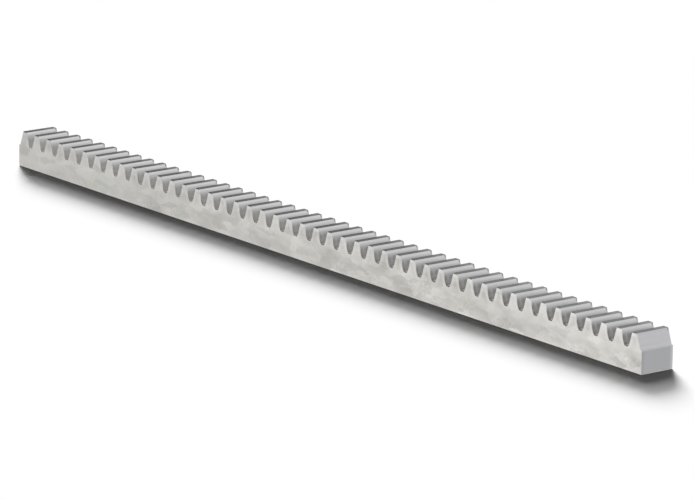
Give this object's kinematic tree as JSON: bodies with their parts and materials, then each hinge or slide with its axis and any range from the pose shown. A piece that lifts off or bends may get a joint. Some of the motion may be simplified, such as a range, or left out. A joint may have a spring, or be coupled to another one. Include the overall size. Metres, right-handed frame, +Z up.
{
  "type": "gear rack",
  "caption": "Straight gear rack: a square steel bar, zinc plated, with spur teeth milled across its top along its whole length.",
  "frame": {"origin": "middle of the base, on the floor plane, halfway along the bar", "axes": "+X along the bar, +Y across it towards the back face, +Z up from the base to the tooth tips"},
  "size_m": [0.5776, 0.022, 0.022],
  "materials": {
    "zinc_plated_steel": "satin"
  },
  "bodies": {
    "root": {"rack_bar": "zinc_plated_steel"}
  },
  "joints": []
}
